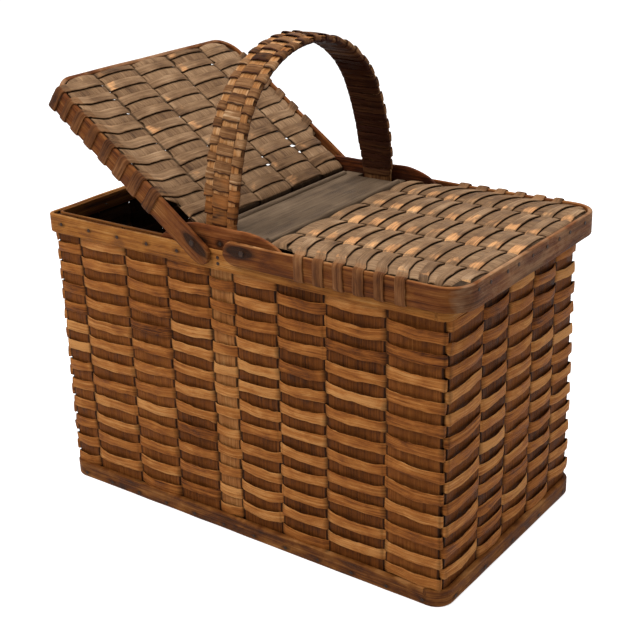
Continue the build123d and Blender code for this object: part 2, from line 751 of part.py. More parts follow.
def build_lid(side_name, pivot_x, outward, angle, reach, panel_start, weft_shares, first_over):
    flat, side, cross = lid_planes(pivot_x, outward, angle)
    panel_end = reach - arm_thickness - seat
    ledge_end = panel_end - stake_thickness - seat

    necks = ((-outward, front_neck), (outward, back_neck))

    def trim_to_frame():
        with BuildSketch(flat.offset(-arm_below)) as room:
            hoop_sketch(0, panel_end, panel_half_width, lid_corner - arm_thickness)
            for side_of_lid, neck in necks:
                with Locations((neck / 2, side_of_lid * (neck_half_width + arm_inner / 2))):
                    Rectangle(neck, arm_inner, mode=Mode.SUBTRACT)
        extrude(room.sketch, amount=arm_above + arm_below, mode=Mode.INTERSECT)

    def cut_lid_nail_holes():
        with BuildSketch(cross.offset(reach)) as holes:
            with Locations(*lid_nails_at):
                Circle(nail_radius + press_fit)
        extrude(holes.sketch, amount=-lid_nail_length, mode=Mode.SUBTRACT)

    with BuildPart() as frame:
        with BuildSketch(flat.offset(-arm_below)):
            hoop_sketch(-arm_tip, reach, arm_outer, lid_corner)
            hoop_sketch(
                -arm_tip - lid_corner, reach - arm_thickness, arm_inner,
                lid_corner - arm_thickness, Mode.SUBTRACT,
            )
        extrude(amount=arm_above + arm_below)
        with BuildSketch(side):
            arm_profile(reach)
        extrude(amount=arm_outer, both=True, mode=Mode.INTERSECT)
        with BuildSketch(side):
            Circle(pivot_radius + running_fit)
        extrude(amount=arm_outer, both=True, mode=Mode.SUBTRACT)
        cut_lid_nail_holes()
    save(frame, f"{side_name}_lid_frame")

    with BuildPart() as ledge:
        with BuildSketch(flat.offset(ledge_bottom)):
            hoop_sketch(ledge_start, ledge_end, arm_inner - seat, ledge_corner)
            hoop_sketch(
                ledge_start - ledge_thickness, ledge_end - ledge_thickness,
                arm_inner - seat - ledge_thickness, ledge_corner - ledge_thickness, Mode.SUBTRACT,
            )
        extrude(amount=ledge_top - ledge_bottom)
        cut_lid_nail_holes()
    save(ledge, f"{side_name}_lid_ledge")

    bar_start = panel_start + stake_thickness + seat
    with BuildPart() as bar:
        with BuildSketch(side):
            with Locations((bar_start + bar_width / 2, bar_top - bar_thickness / 2)):
                RectangleRounded(bar_width, bar_thickness, bar_edge)
        extrude(amount=neck_half_width, both=True)
    save(bar, f"{side_name}_lid_bar")

    fold = panel_start + stake_thickness / 2
    under_bar = bar_top - bar_thickness - seat - stake_thickness / 2
    splint_line = [
        (bar_start + bar_width, under_bar), (fold, under_bar), (fold, panel_level),
        (panel_end - stake_thickness / 2, panel_level),
        (panel_end - stake_thickness / 2, panel_level - tab_drop),
    ]
    with BuildPart() as splints:
        for low, high in row_sides:
            with BuildSketch(side.offset(-(low + high) / 2)):
                with BuildLine():
                    Polyline(*strip_outline(splint_line, stake_thickness), close=True)
                make_face()
            extrude(amount=(high - low) / 2, both=True)
        trim_to_frame()
        cut_lid_nail_holes()
    save(splints, f"{side_name}_lid_splints")

    first_weft = panel_start + stake_thickness + first_weft_gap
    weft_edges = [first_weft] + spread(first_weft, ledge_end, weft_shares)
    weft_sides = [(near + weft_gap / 2, far - weft_gap / 2) for near, far in zip(weft_edges, weft_edges[1:])]
    with BuildPart() as wefts:
        for i, (near, far) in enumerate(weft_sides):
            with BuildSketch(cross.offset(near)):
                with BuildLine():
                    line = weft_line((i % 2 == 0) == first_over)
                    Polyline(*strip_outline(line, weaver_thickness), close=True)
                make_face()
            extrude(amount=far - near)
        trim_to_frame()
    save(wefts, f"{side_name}_lid_wefts")

    with BuildPart() as wraps:
        for near, far in weft_sides[int(not first_over)::2]:
            if far > reach - lid_corner - wrap_corner_gap:
                continue
            for sign in [side_of_lid for side_of_lid, neck in necks if near > neck]:
                line = [
                    (sign * (arm_inner - wrap_lap), wrap_top), (sign * wrap_side, wrap_top),
                    (sign * wrap_side, wrap_foot), (sign * arm_inner, wrap_foot),
                ]
                with BuildSketch(cross.offset(near)):
                    with BuildLine():
                        Polyline(*strip_outline(line, wrap_thickness), close=True)
                    make_face()
                extrude(amount=far - near)
    save(wraps, f"{side_name}_lid_wraps")

    with BuildPart() as nails:
        for radius, length in ((nail_radius, -lid_nail_length), (nail_head_radius, nail_head)):
            with BuildSketch(cross.offset(reach)):
                with Locations(*lid_nails_at):
                    Circle(radius)
            extrude(amount=length)
    save(nails, f"{side_name}_lid_nails")


build_lid("left", pivots_at[0], -1, left_lid_open, left_lid_reach, left_panel_start, left_weft_shares, False)
build_lid("right", pivots_at[1], 1, 0.0, right_lid_reach, right_panel_start, right_weft_shares, True)


# Pivot nails: fixed in the cheeks, the lid arms turn on them
pivot_tip = cheek_face - cheek_thickness + seat
pivot_length = arm_outer + seat - pivot_tip
with BuildPart() as pivot_nails:
    for x in pivots_at:
        for sign in (-1, 1):
            plane = Plane(origin=(x, sign * pivot_tip, pivot_height), x_dir=(1, 0, 0), z_dir=(0, sign, 0))
            with BuildSketch(plane):
                Circle(pivot_radius)
            extrude(amount=pivot_length)
            with BuildSketch(plane.offset(pivot_length)):
                Circle(pivot_head_radius)
            extrude(amount=pivot_head, taper=pivot_head_taper)
save(pivot_nails, "pivot_nails")
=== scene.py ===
from math import atan2, cos, pi, radians, sin, sqrt

import bpy
import numpy as np
from mathutils import Matrix


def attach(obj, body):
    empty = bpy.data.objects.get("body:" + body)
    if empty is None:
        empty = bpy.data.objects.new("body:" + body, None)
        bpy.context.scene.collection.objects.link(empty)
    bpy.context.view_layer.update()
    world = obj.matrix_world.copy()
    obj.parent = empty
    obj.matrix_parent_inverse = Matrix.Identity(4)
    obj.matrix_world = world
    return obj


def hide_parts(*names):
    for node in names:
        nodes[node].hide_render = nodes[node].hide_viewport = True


# Splint picnic basket. All working sizes here are in millimetres, and pieces
# are turned into metres when their mesh is made.

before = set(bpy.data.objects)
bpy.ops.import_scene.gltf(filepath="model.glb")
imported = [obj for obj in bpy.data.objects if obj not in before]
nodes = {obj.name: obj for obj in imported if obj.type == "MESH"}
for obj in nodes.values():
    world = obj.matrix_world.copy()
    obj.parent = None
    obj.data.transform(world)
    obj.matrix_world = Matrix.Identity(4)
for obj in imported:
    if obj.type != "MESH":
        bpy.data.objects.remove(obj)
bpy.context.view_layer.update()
rng = np.random.default_rng(2024)

# Sizes that repeat the CAD model
rim_top, rim_bottom = 301.3, 281.7
rim_half_length, rim_half_depth, rim_thickness = 240, 128.5, 4.5
base_half_length, base_half_depth, base_thickness = 239.5, 133.5, 5.5
rows = 24
foot_level = 17.0
row_pitch = (rim_bottom - foot_level) / rows
wall_columns = 28
left_front_shares = (34, 64, 57, 55)
right_front_shares = (51, 55, 66, 61)
back_shares = (1, 1, 1, 1)
end_shares = (62, 47, 50, 46, 41)
tail_column = 30.0
cheek_middle, cheek_thickness = -4.4, 3.6
pivot_level, pivot_offset = 306.0, 30
handle_shift, handle_skew = -1.5, 0.092
handle_foot, handle_apex, crown_radius = 115.5, 477.0, 101.0
spring_level = rim_top + 2.7
hoop_width, crown_width = 33.0, 39.8
wrap_start, widening, wrap_pitch = 317.0, 35.0, 7.8


# Small helpers on arrays of points

def unit(v):
    return v / np.maximum(np.linalg.norm(v, axis=-1, keepdims=True), 1e-9)


def smoothstep(x):
    x = np.clip(x, 0, 1)
    return x * x * (3 - 2 * x)


def near_ends(t, reach):
    """1 at both ends of a run from 0 to 1, and 0 further in than the reach."""
    return smoothstep(1 - np.minimum(t, 1 - t) / reach)


def wander(s, period, total=None):
    """Smooth random line over the places s, from about -1 to 1."""
    out = np.zeros(len(s))
    for _ in range(4):
        f = rng.uniform(0.55, 1.7) / period
        if total:
            f = max(1, round(f * total)) / total
        out += np.sin(2 * pi * (f * s + rng.uniform()))
    return out / 2.2


def lengths(path, closed=False):
    """Distance along a path at each point, and the whole length."""
    path = np.asarray(path)[:, :3]
    steps = np.linalg.norm(np.diff(path, axis=0), axis=1)
    s = np.concatenate([[0], np.cumsum(steps)])
    total = s[-1] + (np.linalg.norm(path[0] - path[-1]) if closed else 0)
    return s, total


def resample(path, step, closed=False):
    """The same line with even steps; extra columns are carried along."""
    path = np.asarray(path, float)
    if closed:
        path = np.vstack([path, path[:1]])
    s, total = lengths(path)
    n = max(3, int(round(total / step)))
    at = np.linspace(0, total, n + 1)
    if closed:
        at = at[:-1]
    return np.stack([np.interp(at, s, path[:, k]) for k in range(path.shape[1])], axis=1)


def rounded(path, closed=False):
    """The same line with its corners cut."""
    path = np.asarray(path, float)
    after = np.roll(path, -1, axis=0) if closed else path[1:]
    before = path if closed else path[:-1]
    cut = np.stack([0.75 * before + 0.25 * after, 0.25 * before + 0.75 * after], axis=1)
    cut = cut.reshape(-1, path.shape[1])
    return cut if closed else np.vstack([path[:1], cut, path[-1:]])


# Meshes: every splint is a strip with rounded edges swept along a line

class Shape:
    """Points, faces and wood values of one piece."""

    def __init__(self, place=None):
        self.co, self.grain, self.look, self.faces = [], [], [], []
        self.count = 0
        self.place = place

    def add(self, co, faces, grain, look):
        self.co.append(co)
        self.grain.append(grain)
        self.look.append(look)
        self.faces += [tuple(i + self.count for i in f) for f in faces]
        self.count += len(co)

    def piece(self, name, body, slot, material, replaced):
        """Makes the object, which stands for the CAD parts it replaces."""
        mesh = bpy.data.meshes.new(name)
        co = np.concatenate(self.co)
        co = (self.place(co) if self.place else co) * 0.001
        mesh.from_pydata(co.tolist(), [], self.faces)
        mesh.update()
        mesh.polygons.foreach_set("use_smooth", np.ones(len(mesh.polygons), bool))
        mesh.set_sharp_from_angle(angle=radians(50))
        for key, values in (("grain", self.grain), ("look", self.look)):
            attribute = mesh.attributes.new(key, "FLOAT_VECTOR", "POINT")
            attribute.data.foreach_set("vector", np.concatenate(values).astype(np.float32).ravel())
        mesh.materials.append(material)
        obj = bpy.data.objects.new(name, mesh)
        bpy.context.scene.collection.objects.link(obj)
        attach(obj, body)
        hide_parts(*replaced)


def strip(shape, path, low, high, thick, tone, stain_and_shade, patch, across, closed=False, edge=0.4, inner=1,
          margin=None, bow=0.0, worn=0.1, inside=0.0, paint=None, start=0.0, seed=None):
    """Adds a strip along its middle line, from low to high across it.

    edge rounds its edges, inner and margin set its points across, and bow raises its middle.
    tone, stain_and_shade (real stains and painted shade) and patch colour it. worn lightens its edges, inside
    darkens its inner face as painted shade, and paint adds to stain_and_shade by place. start and seed carry
    the grain on from another strip.
    """
    path = np.asarray(path, float)
    n = len(path)
    ahead = np.roll(path, -1, axis=0)
    back = np.roll(path, 1, axis=0)
    if not closed:
        ahead[-1], back[0] = path[-1], path[0]
    tangent = unit(ahead - back)
    across = np.broadcast_to(across, (n, 3))
    normal = unit(np.cross(tangent, across))
    across = unit(np.cross(normal, tangent))
    s, _ = lengths(path, closed)
    low, high, thick, tone, stain_and_shade, patch = [
        np.broadcast_to(np.asarray(a, float), (n,)) for a in (low, high, thick, tone, stain_and_shade, patch)
    ]
    rim = ((0, edge), (0.3 * edge, 0.3 * edge), (edge, 0))
    places = [(low + i, thick / 2 - d, 1 - i / edge) for i, d in rim]
    if margin:
        places.append((low + margin, thick / 2, 0.0))
    for k in range(1, inner + 1):
        places.append((low + (high - low) * k / (inner + 1), thick / 2, 0.0))
    if margin:
        places.append((high - margin, thick / 2, 0.0))
    places += [(high - i, thick / 2 - d, 1 - i / edge) for i, d in rim[::-1]]
    seed = rng.uniform(0, 1000) if seed is None else seed
    rings, grains, looks = [], [], []
    for side, group in ((1, places), (-1, places[::-1])):
        for a, half, at_edge in group:
            half = np.maximum(half, 0.05)
            fraction = 2 * (a - low) / np.maximum(high - low, 1e-6) - 1
            lift = bow * (1 - fraction ** 2)
            rings.append(path + across * a[:, None] + normal * (side * half + lift)[:, None])
            grains.append(np.stack([s + start, a, np.full(n, seed)], axis=1))
            # inside darkens the inner face: painted shade
            extra = (paint(s, a, fraction) if paint else 0) + (inside if side < 0 else 0)
            looks.append(np.stack([tone + worn * at_edge, stain_and_shade + extra, patch], axis=1))
    m = len(rings)
    co = np.stack(rings, axis=1).reshape(-1, 3)
    grain = np.stack(grains, axis=1).reshape(-1, 3)
    look = np.stack(looks, axis=1).reshape(-1, 3)
    faces = []
    for i in range(n if closed else n - 1):
        a, b = i * m, ((i + 1) % n) * m
        for j in range(m):
            k = (j + 1) % m
            faces.append((a + j, b + j, b + k, a + k))
    if not closed:
        faces.append(tuple(range(m)))
        faces.append(tuple((n - 1) * m + j for j in reversed(range(m))))
    shape.add(co, faces, grain, look)


# Materials

def linear(*colour):
    """A colour of three values from 0 to 255, in linear light."""
    parts = [c / 255 for c in colour]
    return tuple(c / 12.92 if c <= 0.04045 else ((c + 0.055) / 1.055) ** 2.4 for c in parts)


class Tree:
    """A short way to write the nodes of a material or world."""

    def __init__(self, owner):
        owner.use_nodes = True
        self.owner = owner
        self.nodes = owner.node_tree.nodes
        self.links = owner.node_tree.links
        self.nodes.clear()

    def add(self, kind, inputs=(), **settings):
        node = self.nodes.new("ShaderNode" + kind)
        for key, value in settings.items():
            setattr(node, key, value)
        for key, value in dict(inputs).items():
            if isinstance(value, bpy.types.NodeSocket):
                self.links.new(value, node.inputs[key])
            else:
                node.inputs[key].default_value = value
        return node

    def math(self, operation, a, b=0.0, clamp=False):
        return self.add("Math", {0: a, 1: b}, operation=operation, use_clamp=clamp).outputs[0]

    def around(self, value, middle, gain, clamp=False):
        """How far a value is above a middle, times a gain."""
        return self.math("MULTIPLY", self.math("SUBTRACT", value, middle), gain, clamp)

    def noise(self, vector, scale, detail=3.0, rough=0.6, distortion=0.0):
        stretched = self.add("VectorMath", {0: vector, 1: scale}, operation="MULTIPLY").outputs[0]
        node = self.add("TexNoise", {"Vector": stretched, "Scale": 1.0, "Detail": detail,
                                     "Roughness": rough, "Distortion": distortion})
        return node.outputs["Fac"]

    def ramp(self, value, stops):
        node = self.add("ValToRGB", {0: value})
        elements = node.color_ramp.elements
        while len(elements) < len(stops):
            elements.new(0.5)
        for element, (place, colour) in zip(elements, stops):
            element.position = place
            element.color = (*linear(*colour), 1)
        return node.outputs[0]

    def mix(self, factor, a, b):
        return self.add("Mix", {0: factor, 6: a, 7: b}, data_type="RGBA").outputs[2]

    def seen(self):
        """1 for what is seen directly, in a reflection or through glass, and 0 for what only lights."""
        paths = self.add("LightPath").outputs
        direct = self.math("MAXIMUM", paths["Is Camera Ray"], paths["Is Glossy Ray"])
        return self.math("MAXIMUM", direct, paths["Is Transmission Ray"])

    def surface(self, colour, roughness, bump, specular, metallic, depth):
        height = self.add("Bump", {"Height": bump, "Strength": 1.0, "Distance": depth}).outputs[0]
        shader = self.add("BsdfPrincipled", {
            "Base Color": colour, "Roughness": roughness, "Normal": height,
            "Specular IOR Level": specular, "Metallic": metallic,
        })
        self.add("OutputMaterial", {"Surface": shader.outputs[0]})
        return self.owner


def wood(name, dark, mid_tone, light, pale, patch=(200, 150, 95), crud_and_shade=(10, 3, 0), broad=0.55,
         fine=0.35, blotch=0.5, scale=1.0, own=True):
    """Old splint wood, from its dark to its pale grain, with patches, crud and painted shade.

    broad, fine and blotch set how much its bands, lines and clouds vary. With own it follows
    each splint's own grain, else the object's.
    """
    tree = Tree(bpy.data.materials.new(name))
    if own:
        grain = tree.add("Attribute", attribute_name="grain").outputs["Vector"]
        look = tree.add("Attribute", attribute_name="look").outputs["Vector"]
        tone, stain_and_shade, patched = tree.add("SeparateXYZ", {0: look}).outputs
    else:
        place = tree.add("TexCoord").outputs["Object"]
        grain = tree.add("VectorMath", {0: place, 1: (1000.0,) * 3}, operation="MULTIPLY").outputs[0]
        x, y, z = tree.add("SeparateXYZ", {0: grain}).outputs
        grain = tree.add("CombineXYZ", {0: y, 1: x, 2: z}).outputs[0]
        tone, stain_and_shade, patched = 0.5, 0.0, 0.0
    bands = tree.noise(grain, (0.012 * scale, 0.45 * scale, 1.3), 4.0, 0.62, 0.25)
    lines = tree.noise(grain, (0.03 * scale, 2.6 * scale, 2.1), 3.0, 0.7)
    hairs = tree.noise(grain, (0.05 * scale, 6.0 * scale, 3.7), 2.0, 0.6)
    clouds = tree.noise(grain, (0.045 * scale, 0.09 * scale, 0.9), 3.0, 0.6, 0.4)

    # Grain
    value = tree.math("ADD", tone, tree.around(bands, 0.5, broad * 2))
    value = tree.math("ADD", value, tree.around(lines, 0.5, fine * 2))
    value = tree.math("ADD", value, tree.around(clouds, 0.5, blotch * 2))
    colour = tree.ramp(value, [(0.08, dark), (0.42, mid_tone), (0.68, light), (0.98, pale)])

    # Patches where the surface has worn off, which on the lids also stand for painted highlight
    spots = tree.around(tree.math("ADD", patched, tree.around(clouds, 0.5, 1.6)), 0.45, 3.0, clamp=True)
    spots = tree.math("MULTIPLY", spots, tree.math("MULTIPLY", lines, 1.5, clamp=True))
    streaks = tree.ramp(value, [(0.1, [0.55 * c for c in patch]), (0.55, patch),
                                (1.0, [min(1.18 * c, 250) for c in patch])])
    colour = tree.mix(spots, colour, streaks)

    # Dark pores, and dirt and painted shade where stain_and_shade is high
    pores = tree.math("MULTIPLY", tree.math("SUBTRACT", 0.43, hairs), 9.0, clamp=True)
    colour = tree.mix(tree.math("MULTIPLY", pores, 0.5), colour, (*linear(*crud_and_shade), 1))
    shade_and_dirt = tree.around(tree.math("ADD", stain_and_shade, tree.around(clouds, 0.5, 0.9)), 0.18, 1.5, clamp=True)
    colour = tree.mix(tree.math("MULTIPLY", shade_and_dirt, 0.85), colour, (*linear(*crud_and_shade), 1))

    gloss = tree.around(clouds, 0.3, 2.5, clamp=True)
    gloss = tree.math("ADD", 0.5, tree.math("MULTIPLY", gloss, 0.8 - 0.5))
    height = tree.math("ADD", tree.math("MULTIPLY", hairs, 0.5), lines)
    height = tree.math("ADD", height, bands)
    return tree.surface(colour, gloss, height, specular=0.08, metallic=0.0, depth=0.0006)


def iron(name):
    tree = Tree(bpy.data.materials.new(name))
    place = tree.add("TexCoord").outputs["Object"]
    flakes = tree.noise(place, (900.0, 900.0, 900.0), 4.0, 0.7)
    colour = tree.ramp(flakes, [(0.35, (22, 15, 11)), (0.55, (52, 32, 20)), (0.7, (96, 58, 32))])
    gloss = tree.math("ADD", 0.45, tree.math("MULTIPLY", flakes, 0.4))
    return tree.surface(colour, gloss, flakes, specular=0.4, metallic=0.55, depth=0.0003)


weaver_wood = wood("weaver_wood", (58, 24, 4), (136, 77, 30), (168, 104, 48), (200, 140, 80),
                   patch=(186, 132, 78), fine=0.5, blotch=0.5)
stake_wood = wood("stake_wood", (42, 17, 2), (98, 52, 17), (122, 68, 26), (150, 92, 42),
                  broad=0.4, fine=0.6, blotch=0.35)
tail_wood = wood("tail_wood", (76, 38, 10), (138, 83, 38), (160, 104, 56), (186, 134, 80),
                 broad=0.5, fine=0.5)
rim_wood = wood("rim_wood", (62, 30, 6), (138, 82, 32), (166, 108, 50), (192, 140, 84),
                scale=0.7, fine=0.45)
base_wood = wood("base_wood", (40, 18, 3), (94, 51, 19), (130, 80, 36), (164, 114, 66),
                 scale=0.7, blotch=0.8)
cheek_wood = wood("cheek_wood", (50, 20, 5), (98, 49, 20), (124, 70, 32), (152, 98, 58), scale=0.7)
# The handle's and the ribs' crud_and_shade colours serve mostly as painted shade on the hoop's inner side and
# on the covered ribs
handle_wood = wood("handle_wood", (48, 24, 9), (114, 75, 43), (146, 105, 68), (210, 174, 134),
                   patch=(136, 80, 34), crud_and_shade=(42, 10, 2))
rib_wood = wood("rib_wood", (76, 38, 14), (146, 92, 48), (178, 124, 74), (210, 164, 118),
                patch=(138, 82, 36), crud_and_shade=(24, 8, 2))
board_wood = wood("board_wood", (70, 54, 40), (103, 84, 66), (124, 103, 82), (152, 130, 106),
                  own=False, scale=0.6, broad=0.35, fine=0.22)
# The lid's bright patch colour is wear and painted highlight on the wefts' front ends
lid_wood = wood("lid_wood", (66, 42, 24), (126, 95, 67), (158, 125, 93), (194, 160, 126),
                patch=(226, 163, 108), broad=0.34, fine=0.42, blotch=0.36)
wrap_wood = wood("wrap_wood", (48, 22, 7), (104, 62, 32), (134, 88, 52), (166, 120, 80),
                 patch=(150, 112, 78))
frame_wood = wood("frame_wood", (46, 20, 4), (98, 51, 19), (126, 75, 34), (158, 112, 70),
                  patch=(136, 104, 78), scale=0.7, fine=0.45)
inner_wood = wood("inner_wood", (26, 12, 4), (48, 27, 12), (66, 40, 20), (90, 58, 32),
                  own=False, scale=0.7)
rust = iron("rust")


# Walls

def wall_half(z, at_foot, at_rim):
    """Half size of the basket at a level, from the middle of its stakes."""
    return at_foot + (at_rim - at_foot) * (z - foot_level) / (rim_bottom - foot_level)


def half_length(z):
    return wall_half(z, 232.8, 234.6)


def half_depth(z):
    return wall_half(z, 126.6, 119.45)


def spread(start, end, shares):
    """Ends of parts that share a run."""
    return list(start + (end - start) * np.cumsum(shares) / sum(shares))


def foot_x(sign):
    """Middle of the handle's foot, at the front (-1) or the back (1)."""
    return handle_shift + sign * handle_skew * handle_foot


def long_wall_gaps(z, sign):
    """Gaps between the stakes of the front (-1) or the back (1)."""
    half = half_length(z)
    left = left_front_shares if sign < 0 else back_shares
    right = right_front_shares if sign < 0 else back_shares
    first, last = foot_x(sign) - tail_column / 2, foot_x(sign) + tail_column / 2
    return [-half] + spread(-half, first, left) + [last] + spread(last, half, right)


def end_wall_gaps(z):
    half = half_depth(z)
    return [-half] + spread(-half, half, end_shares)


def ring_line(row):
    """Middle line of a weaver: x, y, z, outside (1) or inside (0), place in its column, column."""
    z = foot_level + (row + 0.5) * row_pitch
    hx, hy = half_length(z), half_depth(z)
    ends = end_wall_gaps(z)
    sides = (
        ([x + hx for x in long_wall_gaps(z, -1)], (-hx, -hy), (1, 0)),
        ([y + hy for y in ends], (hx, -hy), (0, 1)),
        ([hx - x for x in long_wall_gaps(z, 1)[::-1]], (hx, hy), (-1, 0)),
        ([hy - y for y in ends[::-1]], (-hx, hy), (0, -1)),
    )
    points = []
    column = 0
    for places, corner, along in sides:
        outward = (along[1], -along[0])
        last = len(places) - 2
        for i in range(last + 1):
            over = (column + row) % 2 == 0
            a, b = places[i], places[i + 1]
            width = b - a
            amount = (1.7 + 0.045 * min(width, 62)) * rng.uniform(0.85, 1.15) if over else -2.1
            # At a corner of the basket the weaver turns beside the last stake
            from_end, to_end = a, b
            low_off = high_off = 0.0
            if i == 0:
                from_end, low_off = (a + 1.5, 1.9) if over else (a + 4.5, -1.8)
            if i == last:
                to_end, high_off = (b + 1.0, 1.9) if over else (b - 4.5, -1.8)
            lean = rng.uniform(-0.12, 0.12)
            for t in np.linspace(0, 1, max(8, int(width / 2.5))):
                power = 0.5 if over else 0.35
                if (i == 0 and t < 0.5) or (i == last and t > 0.5):
                    power = 0.9
                bulge = max(sin(pi * t), 0) ** power
                base = low_off + (high_off - low_off) * t
                off = base + (amount - (low_off + high_off) / 2) * bulge * (1 + lean * (t - 0.5) * 2)
                at = from_end + (to_end - from_end) * t
                points.append((
                    corner[0] + along[0] * at + outward[0] * off,
                    corner[1] + along[1] * at + outward[1] * off,
                    z, float(over), t, column,
                ))
            column += 1
    return points


def build_weaver(shape, row):
    """One closed row of the wall."""
    line = resample(rounded(ring_line(row), True), 2.7, True)
    path, over, t = line[:, :3].copy(), line[:, 3], line[:, 4]
    column = np.round(line[:, 5]).astype(int) % wall_columns
    s, total = lengths(path, True)
    path[:, 2] += wander(s, 160, total) * 0.8 + wander(s, 45, total) * 0.35
    own = 0.52 + rng.normal(0, 0.09)
    per_column = own + rng.normal(0, 0.12, wall_columns)
    # The front from the handle on and the right end are a little lighter
    per_column[4:8] += 0.1
    per_column[9:14] += 0.06
    tone = per_column[column] + 0.08 * over
    crossing = near_ends(t, 0.12)
    # Painted shade where the weaver goes in behind the stakes and on its parts behind them; inside=0.8 darkens
    # its inner face, also painted shade
    shade_and_dirt = np.where(over > 0.5, crossing * 0.55, 0.9)
    half = row_pitch / 2 - 0.25 + 0.95 * crossing
    low = -half + wander(s, 70, total) * 0.35 + wander(s, 19, total) * 0.2
    high = half + wander(s, 70, total) * 0.35 + wander(s, 19, total) * 0.2
    tilt = wander(s, 60, total) * 0.07
    outward = unit(np.cross(unit(np.roll(path, -1, 0) - np.roll(path, 1, 0)), (0, 0, 1)))
    across = unit(np.array([0, 0, 1.0]) + outward * tilt[:, None])
    strip(shape, path, low, high, 1.1, tone, shade_and_dirt, 0.1 * over, across, closed=True, edge=0.35,
          inner=2, bow=0.35 * over, worn=0.14, inside=0.8)


for name, start_row in (("even_weavers", 0), ("odd_weavers", 1)):
    shape = Shape()
    for row in range(start_row, rows, 2):
        build_weaver(shape, row)
    shape.piece(name + "_woven", "basket", "weavers", weaver_wood, (name,))


def build_stake(shape, wall, index, column, z_top=299.8, tone=0.5):
    """A stake of the wall that faces a direction, a little narrower than its column."""
    gap, corner_gap = 1.0, 2.4
    z = np.arange(1.0, z_top + 2.9, 3.0)
    z[-1] = z_top
    sign_x, sign_y = wall
    gaps = np.array([long_wall_gaps(h, sign_y) if sign_y else end_wall_gaps(h) for h in z])
    count = gaps.shape[1] - 1
    left = gaps[:, index] + (corner_gap if index == 0 else gap) + wander(z, 90) * 0.4
    right = gaps[:, index + 1] - (corner_gap if index == count - 1 else gap) + wander(z, 90) * 0.4
    parity = 1 if column % 2 == 0 else -1
    push = -0.4 * parity * np.cos(pi * (z - foot_level) / row_pitch - pi / 2)
    push = push * smoothstep((z - foot_level) / 12) * smoothstep((rim_bottom - z) / 12)
    middle = (left + right) / 2
    if sign_y:
        hy = np.array([half_depth(h) for h in z]) + push
        path = np.stack([middle, sign_y * hy, z], axis=1)
    else:
        hx = np.array([half_length(h) for h in z]) + push
        path = np.stack([sign_x * hx, middle, z], axis=1)
    across = np.cross((sign_x, sign_y, 0), (0, 0, 1.0))
    half = (right - left) / 2

    # Painted shade along the stake's sides, at the gaps between columns; inside darkens its inner face as
    # painted shade
    def edges(s, a, fraction):
        return 1.3 * smoothstep((np.abs(fraction) * half - half + 2.2) / 1.6)

    strip(shape, path, -half, half, 1.2, tone + wander(z, 120) * 0.06, 0.1, 0.0, across,
          inner=7, margin=2.2, worn=0.0, inside=0.8, paint=edges)


for name, wall, first, count in (
    ("front_stakes", (0, -1), 0, 9), ("right_end_stakes", (1, 0), 9, 5),
    ("back_stakes", (0, 1), 14, 9), ("left_end_stakes", (-1, 0), 23, 5),
):
    shape = Shape()
    for index in range(count):
        if count == 9 and index == 4:
            continue
        mirrored = index if wall in ((0, -1), (1, 0)) else count - 1 - index
        build_stake(shape, wall, index, first + mirrored, tone=0.5 + rng.normal(0, 0.08))
    shape.piece(name + "_split", "basket", "stakes", stake_wood, (name,))

shape = Shape()
build_stake(shape, (0, -1), 4, 4, z_top=282.6, tone=0.6)
build_stake(shape, (0, 1), 4, 18, z_top=282.6, tone=0.55)
shape.piece("handle_tails_split", "basket", "stakes", tail_wood, ("handle_tails",))


# Rims and the base band

def oblong(hx, hy, r, step):
    """Closed oblong with rounded corners."""
    points = []
    cx, cy = hx - r, hy - r
    for x, y, a in ((cx, -cy, -90), (cx, cy, 0), (-cx, cy, 90), (-cx, -cy, 180)):
        for k in range(9):
            t = radians(a + 90 * k / 8)
            points.append((x + r * cos(t), y + r * sin(t), 0))
    return resample(points, step, True)


def nail_places(half_x, half_y, corner=22):
    """Places of a band's nails, which keep a distance from its corners."""
    places = []
    for i in range(12):
        x = -(half_x - corner) + 2 * (half_x - corner) * i / 11
        places += [(x, -half_y), (x, half_y)]
    for i in range(5):
        y = -(half_y - corner) + 2 * (half_y - corner) * i / 4
        places += [(half_x, y), (-half_x, y)]
    return np.array(places)


def band(shape, hx, hy, r, bottom, top, thick, nail_level):
    """A bent band with stains round its nails."""
    nails, sway = nail_places(hx, hy), 0.35
    path = oblong(hx - thick / 2, hy - thick / 2, r - thick / 2, 3.5)
    s, total = lengths(path, True)
    centre = (bottom + top) / 2
    path[:, 2] = centre
    high = (top - bottom) / 2 - 0.15 + wander(s, 130, total) * sway * 0.6
    high = np.minimum(high, (top - bottom) / 2 + 0.1)
    low = -(top - bottom) / 2 + np.abs(wander(s, 150, total)) * sway

    def near_nails(s, a, fraction):
        spots = np.zeros(len(s))
        for x, y in nails:
            d = np.hypot(path[:, 0] - x, path[:, 1] - y) - thick / 2
            spots = np.maximum(spots, np.exp(-(d / 3.6) ** 2 - ((a + centre - nail_level) / 2.6) ** 2))
        return 0.8 * spots

    strip(shape, path, low, high, thick, 0.5 + wander(s, 200, total) * 0.06, 0.0, 0.1, (0, 0, 1.0),
          closed=True, edge=1.1, inner=5, worn=0.14, paint=near_nails)


shape = Shape()
band(shape, rim_half_length, rim_half_depth, 10, rim_bottom, rim_top, rim_thickness, rim_top - 9)
shape.piece("outer_rim_bent", "basket", "rims", rim_wood, ("outer_rim",))

shape = Shape()
band(shape, base_half_length, base_half_depth, 18, 0, foot_level, base_thickness, 5)
shape.piece("base_band_bent", "basket", "base_band", base_wood, ("base_band",))

